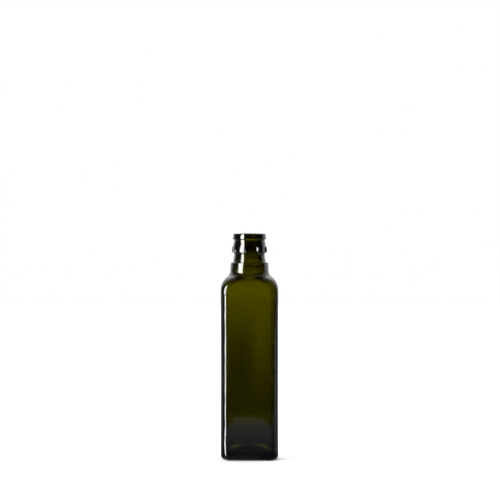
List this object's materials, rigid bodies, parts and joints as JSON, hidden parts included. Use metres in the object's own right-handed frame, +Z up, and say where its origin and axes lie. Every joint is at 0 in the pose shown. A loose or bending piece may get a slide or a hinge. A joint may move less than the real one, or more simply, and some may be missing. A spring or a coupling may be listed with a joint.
{
  "type": "square oil bottle",
  "caption": "Empty, open square glass bottle for oil, with rounded corners, a short round shoulder, a collar, a toothed neck band, a lip ring and a knurled foot.",
  "frame": {"origin": "centre of the foot, on the surface that the foot bars stand on", "axes": "+Z up along the bottle to its mouth, -Y towards the front face, +X to the right of it"},
  "size_m": [0.0492, 0.0492, 0.196],
  "materials": {
    "glass": "glossy olive green container glass"
  },
  "bodies": {
    "root": {"bottle": "glass"}
  },
  "joints": []
}
